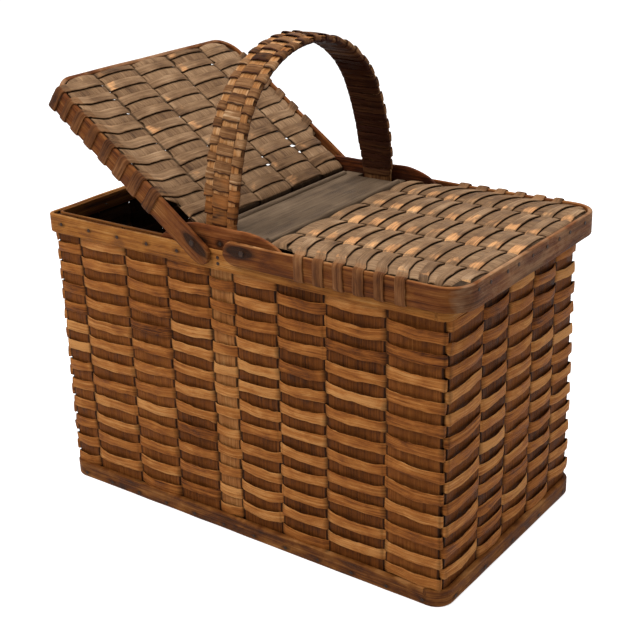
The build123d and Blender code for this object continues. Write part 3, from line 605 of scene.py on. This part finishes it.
inner_hx, inner_hy = half_length(rim_bottom) - 0.7, half_depth(rim_top) - 0.7
inner_inset, inner_corner, foot_clearance = 1.75, 8, 17.2
for side, name in ((-1, "left_inner_rim"), (1, "right_inner_rim")):
    whole = oblong(inner_hx - inner_inset, inner_hy - inner_inset, inner_corner - inner_inset, 3.0)
    keep = []
    for x, y, _ in whole:
        foot = foot_x(1 if y > 0 else -1)
        if side * (x - foot) > foot_clearance:
            keep.append((x, y, rim_top - 8.1))
    keep = np.array(keep)
    # The line starts beside one foot of the handle and ends beside the other
    jump = np.argmax(np.linalg.norm(keep - np.roll(keep, 1, 0), axis=1))
    keep = np.roll(keep, -jump, axis=0)
    shape = Shape()
    s, _ = lengths(keep)
    strip(shape, keep, -7.9 + wander(s, 90) * 0.2, 7.9, 3.4, 0.35, 0.35, 0, (0, 0, 1.0), edge=0.9, inner=4,
          worn=0.12)
    shape.piece(name + "_bent", "basket", "rims", rim_wood, (name,))


# Cheeks

cheek_face = rim_half_depth - rim_thickness - 0.1


def cheek_arc(half, top, flat):
    """Height of a cheek's top edge at a distance from its middle."""
    a = np.array([half, rim_top])
    b = np.array([half - 0.42 * (half - flat), top - 0.24 * (top - rim_top)])
    c = np.array([flat, top])
    m = np.array([b - a, c - a]) * 2
    centre = np.linalg.solve(m, [b @ b - a @ a, c @ c - a @ a])
    radius = np.linalg.norm(a - centre)

    def height(x):
        x = np.abs(x)
        root = np.sqrt(np.maximum(radius ** 2 - (x - centre[0]) ** 2, 0)) + centre[1]
        return np.where(x <= flat, top, np.maximum(root, rim_top))

    return height


def build_cheek(sign, half, top, flat, name, tone):
    """A cheek board with stains round the pivots and the handle's top nail."""
    height = cheek_arc(half, top, flat)
    x = np.linspace(cheek_middle - half, cheek_middle + half, 72)
    y = np.full(len(x), sign * (cheek_face - cheek_thickness / 2))
    bottom = rim_top - 18.6
    path = np.stack([x, y, np.full(len(x), bottom)], axis=1)
    highs = height(x - cheek_middle) - bottom + wander(x, 60) * 0.3 - 0.2
    spots = [(cheek_middle + offset, pivot_level, 11.0, 4.0) for offset in (-pivot_offset, pivot_offset)]
    spots.append((foot_x(sign) + 4, rim_top + 5.5, 5.0, 4.0))

    def stains(s, a, fraction):
        out = np.zeros(len(s))
        z = a + bottom
        for px, pz, wide, tall in spots:
            out = np.maximum(out, np.exp(-((x - px) / wide) ** 2 - ((z - pz) / tall) ** 2))
        return 1.4 * out

    shape = Shape()
    strip(shape, path, 0.0, highs, cheek_thickness, tone, 0.08, 0, (0, 0, 1.0), edge=1.2, inner=9,
          worn=0.12, paint=stains)
    shape.piece(name + "_worn", "basket", "cheeks", cheek_wood, (name,))


build_cheek(-1, 80, 323, 18, "front_cheek", 0.58)
build_cheek(1, 92, 328, 40, "back_cheek", 0.2)


# Handle

crown_centre = handle_apex - crown_radius
side_turn = 2 * atan2(handle_foot - crown_radius, crown_centre - spring_level)
side_radius = (handle_foot - crown_radius) / (1 - cos(side_turn)) + crown_radius
handle_along = unit(np.array([handle_skew, 1, 0]))
handle_across = unit(np.array([1, -handle_skew, 0]))


def upright(p):
    """Points given along the handle and up."""
    return handle_along * p[:, :1] + np.array([0, 0, 1.0]) * p[:, 1:]


def arch_line(step, foot=283.0):
    """Points of the handle's arch, front foot first, with outward directions."""
    flat, out = [], []
    for z in np.arange(foot, spring_level, step):
        flat.append((-handle_foot, z))
        out.append((-1.0, 0.0))
    for angle in np.linspace(-pi / 2, pi / 2, 900):
        if abs(angle) <= pi / 2 - side_turn:
            flat.append((crown_radius * sin(angle), crown_centre + crown_radius * cos(angle)))
            out.append((sin(angle), cos(angle)))
        else:
            side = 1 if angle > 0 else -1
            turn = abs(angle)
            reach = handle_foot - side_radius + side_radius * sin(turn)
            flat.append((side * reach, spring_level + side_radius * cos(turn)))
            out.append((side * sin(turn), cos(turn)))
    for z in np.arange(foot, spring_level, step)[::-1]:
        flat.append((handle_foot, z))
        out.append((1.0, 0.0))
    points = upright(np.array(flat)) + np.array([handle_shift, 0, 0])
    both = resample(np.hstack([points, upright(np.array(out))]), step)
    return both[:, :3], unit(both[:, 3:])


def width_at(z):
    return hoop_width + (crown_width - hoop_width) * np.clip((z - wrap_start) / widening, 0, 1)


def low_in_front(y, z):
    """1 on the lower front leg, which is more orange, and 0 above."""
    return smoothstep((392 - z) / 50) * (y < 0)


arch, arch_out = arch_line(1.5)
arch_s, arch_total = lengths(arch)
wrap_from = np.interp(wrap_start, arch[:len(arch) // 2, 2], arch_s[:len(arch) // 2])
wrap_to = arch_total - wrap_from
wrap_count = int((wrap_to - wrap_from) / wrap_pitch)
wrap_step = (wrap_to - wrap_from) / wrap_count
wraps_at = wrap_from + (np.arange(wrap_count) + 0.5) * wrap_step
half_widths = width_at(arch[:, 2]) / 2
low_part = low_in_front(arch[:, 1], arch[:, 2])

hoop = Shape()
strip(hoop, arch + arch_out * -0.3, -half_widths, half_widths, 3.0, 0.4, 0.2, low_part, handle_across,
      edge=0.9, inner=3)
hoop.piece("handle_hoop_bent", "basket", "handle", handle_wood, ("handle_hoop",))

# Each rib dips where a wrap crosses it and rises where one passes beneath
ribs = Shape()
for low_share, high_share, start in ((-1, -0.55, 0), (-0.47, 0.47, 1), (0.55, 1, 0)):
    inside = smoothstep((arch_s - wrap_from) / 8) * smoothstep((wrap_to - arch_s) / 8)
    covered = np.cos(pi * ((arch_s - wraps_at[0]) / wrap_step + start))
    lift = 2.35 - 0.5 * inside * covered
    low = half_widths * low_share + wander(arch_s, 40) * 0.25
    high = half_widths * high_share + wander(arch_s, 40) * 0.25
    # Each rib is darkened where the wraps cover it, as painted shade
    strip(ribs, arch + arch_out * lift[:, None], low, high, 1.0, 0.66 + wander(arch_s, 40) * 0.15,
          0.6 * smoothstep(covered + 0.25) * inside, low_part * 0.7, handle_across, edge=0.35, inner=3,
          worn=0.12, bow=0.25)
ribs.piece("handle_ribs_bent", "basket", "handle", rib_wood, ("handle_ribs",))


def build_wrap(shape, s, over_middle):
    """A turn round the hoop, over the middle rib or over the two side ribs."""
    p = np.array([np.interp(s, arch_s, arch[:, k]) for k in range(3)])
    outward = unit(np.array([np.interp(s, arch_s, arch_out[:, k]) for k in range(3)]))
    forward = np.cross(handle_across, outward)
    half_width = width_at(p[2]) / 2
    side, edge_rib = half_width + 0.9, half_width * 0.5
    swell = rng.uniform(-0.2, 0.6)
    # Half a turn as place across, height and how far it shows, from its side to its middle
    if over_middle:
        outer = [(side - 0.4, 0.4, 0), (side - 1.8, 1.3, 0), (edge_rib + 1.4, 1.3, 0),
                 (edge_rib + 0.2, 3.0, 1), (edge_rib - 1.6, 3.9, 1), (0, 4.3 + swell, 1)]
    else:
        outer = [(side + 0.5, 1.2, 0.6), (side + 0.3, 2.9, 1), (side - 2, 3.8 + swell * 0.6, 1),
                 (edge_rib + 3.0, 3.8, 1), (edge_rib + 1.2, 3.0, 1), (edge_rib - 0.2, 1.3, 0), (0, 1.2, 0)]
    outer = [(-a, b, c) for a, b, c in outer] + [(a, b, c) for a, b, c in outer[-2::-1]]
    beneath = [(side + 0.2, -1.2, 0.2), (side - 3, -2.9, 0.2), (side / 2, -3.2, 0.2)]
    beneath += [(-a, b, c) for a, b, c in beneath[::-1]]
    flat = resample(np.array(outer + beneath, float), 1.6, True)
    flat = resample(rounded(flat, True), 1.2, True)
    a, b, on_top = flat[:, 0], flat[:, 1], flat[:, 2]
    lean = rng.normal(0, 0.9)
    path = p + handle_across * a[:, None] + outward * b[:, None] + forward * (lean * a / hoop_width)[:, None]
    along, total = lengths(path, True)
    orange = low_in_front(p[1], p[2])
    shown = smoothstep((on_top - 0.05) / 0.35)
    half = np.where(b > 0, 2.6 + ((2.9 if over_middle else 1.9) + 1.1 * orange) * shown, 3.55)
    half = half + (0 if over_middle else 0.7) * smoothstep((np.abs(a) - side + 3) / 2)
    lows = -half + wander(along, 16, total) * 0.35
    highs = half + wander(along, 16, total) * 0.35
    # Painted shade: the inner side of the hoop (under) is darker in tone and stain, and the parts hidden
    # beneath the ribs are darkened too
    under = smoothstep((0.6 - b) / 1.6)
    tone = 0.47 + rng.normal(0, 0.15) - 0.06 * orange - 0.3 * under
    shade_and_dirt = 0.05 + 0.55 * under + 0.45 * (1 - shown) * (1 - under)
    turned = unit(forward + outward * (rng.normal(0, 0.05) + 0.1 * on_top)[:, None])

    # Painted shade along the edges of the shown parts, where they stand off the ribs
    def painted_edge_shade(s, a, fraction):
        return shown * (1.2 * smoothstep((fraction - 0.6) / 0.35) + 0.4 * smoothstep((-fraction - 0.75) / 0.25))

    strip(shape, path, lows, highs, 0.85, tone, shade_and_dirt, np.maximum(0.8 * orange, 0.15), turned, closed=True,
          edge=0.3, inner=5, worn=0.04, bow=-0.1 - 0.3 * shown, paint=painted_edge_shade)


wraps = Shape()
for i, s in enumerate(wraps_at):
    build_wrap(wraps, s, i % 2 == 1)
wraps.piece("handle_wraps_wound", "basket", "handle", handle_wood, ("handle_wraps",))


# Lids

arm_inner = rim_half_depth + 0.7
frame_thickness = 4.5
arm_outer = arm_inner + frame_thickness
panel_half = arm_inner - 0.3
row_edges = [-panel_half] + spread(-panel_half, panel_half, (0.93, 1, 1, 1, 0.93))
panel_level, panel_corner = 7.0, 22

# Small gaps torn in the panels: place along, place across and length
leaks = {
    "left": ((56, -80, 12), (48, -26, 7), (179.6, 80, 4), (160.5, 80, 4), (138.7, 80, 4), (98, 80, 5),
             (202, -26, 4), (185, -80, 4)),
    "right": (),
}

# How the end of a weft folds round the frame: place across and level
fold_round_arm = (
    (arm_inner - 3, 8.4), (arm_inner + 1, 9.8), (arm_outer - 2, 10.2), (arm_outer + 0.9, 9.4),
    (arm_outer + 1.1, 4.0), (arm_outer + 1.1, -8.0), (arm_outer + 0.9, -13.8), (arm_outer - 1, -15.0),
    (arm_inner + 1, -14.9),
)


class Lid:
    """Places of one lid: u runs out from the pivot, v across and w up from its flat.

    shares are the widths of its wefts, and slants how far they lean at the front and back, first
    within the outer rows and then beside the frame.
    """

    def __init__(self, name, outward, angle, reach, panel_start, shares, first_over, slants):
        self.name, self.reach, self.start, self.outward = name, reach, panel_start, outward
        self.origin = np.array([cheek_middle + outward * pivot_offset, 0, pivot_level])
        self.u = np.array([outward * cos(radians(angle)), 0, sin(radians(angle))])
        self.w = np.array([-outward * sin(radians(angle)), 0, cos(radians(angle))])
        self.v = np.cross(self.w, self.u)
        self.body = name + "_lid"
        self.end = reach - 4.6
        first = panel_start + 1.2 + 1.0
        edges = np.array([first] + spread(first, self.end - 1.3, shares))
        self.wefts = list(zip(edges[:-1], edges[1:]))
        self.first_over = first_over
        self.slants = slants

    def over(self, row, k):
        return (row % 2 == 0) == ((k % 2 == 0) == self.first_over)

    def place(self, points):
        points = np.asarray(points, float)
        return self.origin + points @ np.array([self.u, self.v, self.w])

    def bend(self, points):
        """Panel points with the slant of the wefts and the rise to the frame, placed."""
        points = np.array(points, float)
        side = np.abs(points[:, 1])
        front = points[:, 1] * self.outward < 0
        in_row = np.where(front, self.slants[0], self.slants[1]) * smoothstep((side - 82) / 45)
        at_frame = np.where(front, self.slants[2], self.slants[3]) * smoothstep((side - 113) / 21)
        fade = smoothstep((self.reach - 4 - points[:, 0]) / 60) * smoothstep((points[:, 0] - 10) / 30)
        points[:, 0] += (in_row + at_frame) * fade
        rise = np.where(front, 1.5, -1.3) * smoothstep((side - 104) / 22)
        points[:, 2] += rise * (side < arm_inner - 0.5) * (points[:, 2] > 0)
        return self.place(points)


left_lid = Lid("left", -1, 36.5, 218.0, 8.0, [1 - 0.008 * i for i in range(18)] + [0.45], False,
               (0, 0, 9, 7))
right_lid = Lid("right", 1, 0.0, 230.0, 20.0, [1] * 19, True, (9, 7, 7, 4))


def quarter_round(x):
    """Height of a quarter circle, 1 at its start and 0 at its end."""
    return np.sqrt(np.clip(1 - x ** 2, 0, 1))


def build_lid_frame(lid):
    """The lid's two arms and its far end, as one bent strip."""
    inset = frame_thickness / 2
    r, half, end = 26 - inset, arm_inner + inset, lid.reach - inset
    along_arm = np.concatenate([np.linspace(-22.9, -8, 12), np.linspace(-4, end - r, 60)])
    line = [(u, -half, 0) for u in along_arm]
    for k in range(1, 9):
        t = radians(-90 + 90 * k / 8)
        line.append((end - r + r * cos(t), -half + r + r * sin(t), 0))
    line += [(end, v, 0) for v in np.linspace(-half + r + 4, half - r - 4, 60)]
    for k in range(9):
        t = radians(90 * k / 8)
        line.append((end - r + r * cos(t), half - r + r * sin(t), 0))
    line += [(u, half, 0) for u in along_arm[::-1]]
    line = np.array(line)
    u = line[:, 0]
    s, _ = lengths(line)
    top = np.where(u < -13, -4 + 13 * quarter_round((-13 - u) / 10), 9.0)
    bottom = np.where(u < -8, -4 - 10 * quarter_round((-8 - u) / 15), -14.0)
    line[:, 1] += np.sign(line[:, 1]) * wander(s, 150) * 0.3 * smoothstep((u - 30) / 40)
    top = top - 0.15 + wander(s, 120) * 0.25 - 0.1
    grey = 0.6 * smoothstep((u - lid.reach + 24) / 20)

    # Iron stains round the pivot, and darker towards the frame's lower edge
    def stains(s, a, fraction):
        pivot = np.exp(-((u + 3) / 13) ** 2 - ((a - 1) / 4.2) ** 2)
        return 3.0 * pivot + 0.25 * smoothstep((-fraction - 0.5) / 0.5)

    shape = Shape()
    strip(shape, lid.place(line), bottom, top, frame_thickness, 0.5 + wander(s, 120) * 0.08, 0.05, grey, lid.w,
          edge=1.1, inner=9, worn=0.06 if lid.outward < 0 else 0.2, paint=stains)
    shape.piece(lid.name + "_lid_frame_bent", lid.body, "lid_frames", frame_wood, (lid.name + "_lid_frame",))


def row_profile(lid, row, u):
    """Level of a lengthwise splint: low under the wefts that cross it, high against their flush edge."""
    level = np.full(len(u), 7.8)
    for k, (near, far) in enumerate(lid.wefts):
        if not lid.over(row, k):
            continue
        if lid.outward < 0:
            before = smoothstep((u - near + 5.0) / 5.5)
            after = smoothstep((u - far + 1.2) / 2.0)
        else:
            before = smoothstep((far + 5.0 - u) / 5.5)
            after = smoothstep((near + 1.2 - u) / 2.0)
        level -= 1.5 * before * (1 - after)
    return level


def build_lid_rows(lid):
    """The five lengthwise splints, folded round the bar at their hinge end."""
    fold = lid.start + (0.6 if lid.outward < 0 else -1.6)
    shape = Shape(lid.bend)
    for row in range(5):
        low, high = row_edges[row] + 0.8, row_edges[row + 1] - 0.8
        if lid.outward < 0:
            high -= 1.5 * (row < 4)
        else:
            low += 1.5 * (row > 0)
        middle = (low + high) / 2
        u = np.arange(fold + 2, lid.end - 1, 0.9)
        ease = smoothstep((u - fold - 1) / 5) * smoothstep((lid.end - u) / 6)
        w = panel_level + (row_profile(lid, row, u) - panel_level) * ease
        line = [(fold + 12, -2.2), (fold + 6, -2.2), (fold + 1, -2.2), (fold, 0), (fold, 5.0), *zip(u, w),
                (lid.end - 0.6, panel_level - 1), (lid.end - 0.6, panel_level - 6)]
        line = resample(rounded([(a, middle, b) for a, b in line]), 1.0)
        s, _ = lengths(line)
        at = line[:, 0]

        # The outer splints are cut to the far corners and narrower beside the cheeks
        cut = 0
        if row in (0, 4):
            corner_start = lid.end - panel_corner
            cut = np.clip(24 * (1 - quarter_round((at - corner_start) / panel_corner)), 0, 20)
            cut = np.where(at > corner_start, cut, 0)
            front = (row == 0) == (lid.outward > 0)
            neck = 36.0 if front else 57.0
            cut = cut + 9.2 * smoothstep((neck + 5 - at) / 5)
        half = (high - low) / 2
        lows = -half + wander(s, 60) * 0.35 + (cut if row == 0 else 0)
        highs = half + wander(s, 60) * 0.35 - (cut if row == 4 else 0)
        for u0, v0, wide in leaks[lid.name]:
            hole = 2.4 * np.exp(-((at - u0) / wide) ** 2) * (line[:, 2] > 3)
            if abs(v0 - row_edges[row]) < 8:
                lows = lows + hole
            if abs(v0 - row_edges[row + 1]) < 8:
                highs = highs - hole
        # Painted shade where the splint runs low beneath the wefts; inside darkens its underside, also painted
        # shade
        shade_and_dirt = 0.9 * smoothstep((7.1 - line[:, 2]) / 0.6)
        strip(shape, line, lows, highs, 1.2, 0.5 + rng.normal(0, 0.05) + wander(s, 60) * 0.06, shade_and_dirt, 0.12,
              (0, 1.0, 0), edge=0.4, inner=7, bow=2.0, worn=0.0, inside=0.5)
    shape.piece(lid.name + "_lid_splints_bent", lid.body, "lid_panels", lid_wood, (lid.name + "_lid_splints",))


def weft_path(lid, k):
    """Middle line of a weft as v, w, how far it is on top, and place in its row."""
    points = []
    for row in range(5):
        low, high = row_edges[row], row_edges[row + 1]
        over = lid.over(row, k)
        amount = rng.uniform(3.2, 3.6) if over else -1.9
        for t in np.linspace(0, 1, 18)[:-1]:
            bulge = max(sin(pi * t), 0) ** (0.5 if over else 0.4)
            points.append((low + t * (high - low), panel_level + amount * bulge, float(over), t))
    points.append((panel_half, panel_level, float(lid.over(4, k)), 1.0))
    return points


def build_wefts(lid):
    """The crosswise splints; the ends that fold round the frame are a piece of their own."""
    shape, ends = Shape(lid.bend), Shape(lid.bend)
    front = -lid.outward
    tilt_way = -0.1 if lid.outward < 0 else 0.095
    last_wrap = {"left": (17, 15), "right": (12, 14)}[lid.name]
    for k, (near, far) in enumerate(lid.wefts):
        u = (near + far) / 2
        line = weft_path(lid, k)
        edge_over = lid.over(0, k)

        # Its two ends: folded round the frame, or cut inside it
        folded_sides = []
        for side in (-1, 1):
            is_front = side == front
            neck = near < (36 if is_front else 54)
            if edge_over and not neck and near > 42 and k <= last_wrap[0 if is_front else 1]:
                folded_sides.append(side)
                keep = [p for p in line if side * p[0] < panel_half - 6]
                tail = [(side * a, b, 1.0, 0.5 + 0.5 * side) for a, b in fold_round_arm]
            else:
                reach = 119.5 if neck else panel_half - 0.3
                if far > lid.end - panel_corner:
                    r = 21.5
                    in_corner = sqrt(max(r * r - (far + 1 - (lid.end - r)) ** 2, 1))
                    reach = min(reach, panel_half - r + in_corner - 0.6)
                keep = [p for p in line if side * p[0] < reach - 1.5]
                tail = [(side * reach, panel_level - 1.2, float(edge_over), 0.5 + 0.5 * side)]
            line = keep + tail if side > 0 else tail[::-1] + keep
        line = np.array([(u, *p) for p in line])[::-1]
        line = resample(rounded(line), 1.7)
        s, _ = lengths(line)
        v, over, t = line[:, 1], line[:, 3], line[:, 4]
        on_top = over * np.clip(np.sin(pi * t), 0, 1) ** 0.5

        # Its edges
        half = (far - near) / 2 + 0.1 + 0.3 * near_ends(t, 0.12)
        half = half * (1 - rng.uniform(0.0, 0.16) * smoothstep((np.abs(v) - arm_inner + 2) / 8))
        lows = -half + wander(s, 60) * 0.3 + wander(s, 17) * 0.15
        highs = half + wander(s, 60) * 0.3 + wander(s, 17) * 0.15
        for u0, v0, wide in leaks[lid.name]:
            pinch = 0.16 * wide * np.exp(-((v - v0) / 3.5) ** 2) * (wide > 6) * (abs(u - u0) < wide + 2)
            lows, highs = lows + pinch, highs - pinch
        on_frame = np.abs(v) > arm_inner - 5
        tilt = np.where(on_frame, 0, tilt_way * on_top)
        across = unit(np.stack([np.ones(len(line)), np.zeros(len(line)), tilt], axis=1))

        # Its colours: a patch at the front end of each part on top, which is wear and painted highlight
        # (brighter on the right lid), and painted shade where it dips under
        facing = np.where(front < 0, 1 - t, t)
        middle_rows = np.exp(-((v - front * 20) / 90) ** 2)
        front_end = over * smoothstep((facing - 0.55) / 0.35) * smoothstep((1.02 - facing) / 0.1)
        tone = 0.5 + rng.normal(0, 0.05) + wander(s, 50) * 0.08
        if lid.outward < 0:
            tone = tone - 0.1 * smoothstep((-v - 10) / 60)
        shade_and_dirt = np.where(over > 0.5, 0.3 * near_ends(t, 0.08), 0.7)
        strength = (0.6 if lid.outward < 0 else 1.25) * rng.uniform(0.35, 1.15)
        patch = 0.08 + strength * front_end * (0.35 + 0.65 * middle_rows) + wander(s, 30) * 0.12
        patch = np.where(np.abs(v) > arm_inner - 8, 0.1, patch)
        before_fold = 1 - smoothstep((np.abs(v) - arm_inner + 1) / 7)
        seed = rng.uniform(0, 1000)

        # Its woven part, and its folded ends
        woven = np.ones(len(line), bool)
        for side in folded_sides:
            woven &= side * v <= arm_inner - 5
        first, last = np.argmax(woven), len(woven) - 1 - np.argmax(woven[::-1])
        spans = [(shape, first, last + 1)]
        if first > 0:
            spans.append((ends, 0, first + 1))
        if last < len(woven) - 1:
            spans.append((ends, last, len(woven)))
        for target, a, b in spans:
            part = slice(a, b)
            folded = target is ends
            shade = -0.1 + 0.08 * (lid.outward > 0) if folded else 0.0
            strip(target, line[part, :3], lows[part], highs[part], 1.0, tone[part] + shade,
                  0.12 if folded else shade_and_dirt[part], before_fold[part] if folded else patch[part], across[part],
                  edge=0.35, inner=3, bow=0.3 * over[part], worn=0.1 if folded else 0.0, start=s[a], seed=seed)
    shape.piece(lid.name + "_lid_wefts_woven", lid.body, "lid_panels", lid_wood, (lid.name + "_lid_wefts",))
    ends.piece(lid.name + "_lid_wraps_folded", lid.body, "lid_panels", wrap_wood, (lid.name + "_lid_wraps",))


for lid in (left_lid, right_lid):
    build_lid_frame(lid)
    build_lid_rows(lid)
    build_wefts(lid)


# CAD parts that keep their own shape and get a finish
for name, material in (
    ("base_board", inner_wood), ("centre_board", board_wood), ("board_beads", board_wood),
    ("left_lid_ledge", inner_wood), ("right_lid_ledge", inner_wood),
    ("left_lid_bar", inner_wood), ("right_lid_bar", inner_wood),
    ("base_nails", rust), ("rim_nails", rust), ("handle_nails", rust), ("pivot_nails", rust),
    ("left_lid_nails", rust), ("right_lid_nails", rust),
):
    mesh = nodes[name].data
    mesh.materials.clear()
    mesh.materials.append(material)


# Floor, light and camera

def white_floor():
    """White where it is seen, and matte for the light that falls back on the basket."""
    tree = Tree(bpy.data.materials.new("floor_white"))
    matte = tree.add("BsdfDiffuse", {"Color": (0.82, 0.82, 0.82, 1)})
    glow = tree.add("Emission", {"Color": (1, 1, 1, 1), "Strength": 0.68})
    both = tree.add("AddShader", {0: matte.outputs[0], 1: glow.outputs[0]})
    out = tree.add("MixShader", {0: tree.seen(), 1: matte.outputs[0], 2: both.outputs[0]})
    tree.add("OutputMaterial", {"Surface": out.outputs[0]})
    return tree.owner


floor_mesh = bpy.data.meshes.new("floor")
size, level = 6.0, -0.0004
floor_mesh.from_pydata([(-size, -size, level), (size, -size, level), (size, size, level), (-size, size, level)],
                       [], [(0, 1, 2, 3)])
floor_mesh.materials.append(white_floor())
floor = bpy.data.objects.new("floor", floor_mesh)
bpy.context.scene.collection.objects.link(floor)

world = bpy.data.worlds.new("studio")
bpy.context.scene.world = world
sky = Tree(world)
brightness = sky.add("Mix", {0: sky.seen(), 2: 0.44, 3: 1.0}).outputs[0]
background = sky.add("Background", {0: (1, 1, 1, 1), 1: brightness})
sky.add("OutputWorld", {0: background.outputs[0]})


def lamp(name, place, target, size, power):
    data = bpy.data.lights.new(name, "AREA")
    data.shape = "SQUARE"
    data.size = size
    data.energy = power
    obj = bpy.data.objects.new(name, data)
    bpy.context.scene.collection.objects.link(obj)
    ahead = unit(np.array(target, float) - np.array(place, float))
    side = unit(np.cross(ahead, (0, 0, 1.0)))
    up = np.cross(side, ahead)
    obj.matrix_world = Matrix([[side[k], up[k], -ahead[k], place[k]] for k in range(3)] + [[0, 0, 0, 1]])


lamp("key", (-0.7, -1.3, 2.0), (0, 0, 0.2), 1.0, 32)
lamp("top", (0.3, 0.4, 2.2), (0, 0, 0.3), 1.4, 29)

azimuth, elevation, roll = radians(36.842), radians(22.492), radians(-2.07)
distance, shift_right, shift_up, focal = 1368.751, 1.987, 174.536, 1252.501
image_size, centre_x, centre_y = 640, 318.584, 319.067
back = np.array([sin(azimuth) * cos(elevation), -cos(azimuth) * cos(elevation), sin(elevation)])
right = unit(np.cross(-back, (0, 0, 1.0)))
up = np.cross(right, -back)
right, up = cos(roll) * right + sin(roll) * up, -sin(roll) * right + cos(roll) * up
place = (back * distance + right * shift_right + up * shift_up) * 0.001
camera_data = bpy.data.cameras.new("camera")
camera_data.sensor_width = 36
camera_data.lens = focal * 36 / image_size
camera_data.shift_x = (image_size / 2 - centre_x) / image_size
camera_data.shift_y = (centre_y - image_size / 2) / image_size
camera_data.clip_start, camera_data.clip_end = 0.05, 50
camera = bpy.data.objects.new("camera", camera_data)
bpy.context.scene.collection.objects.link(camera)
camera.matrix_world = Matrix([[right[k], up[k], back[k], place[k]] for k in range(3)] + [[0, 0, 0, 1]])
bpy.context.scene.camera = camera
bpy.context.scene.view_settings.view_transform = "Standard"
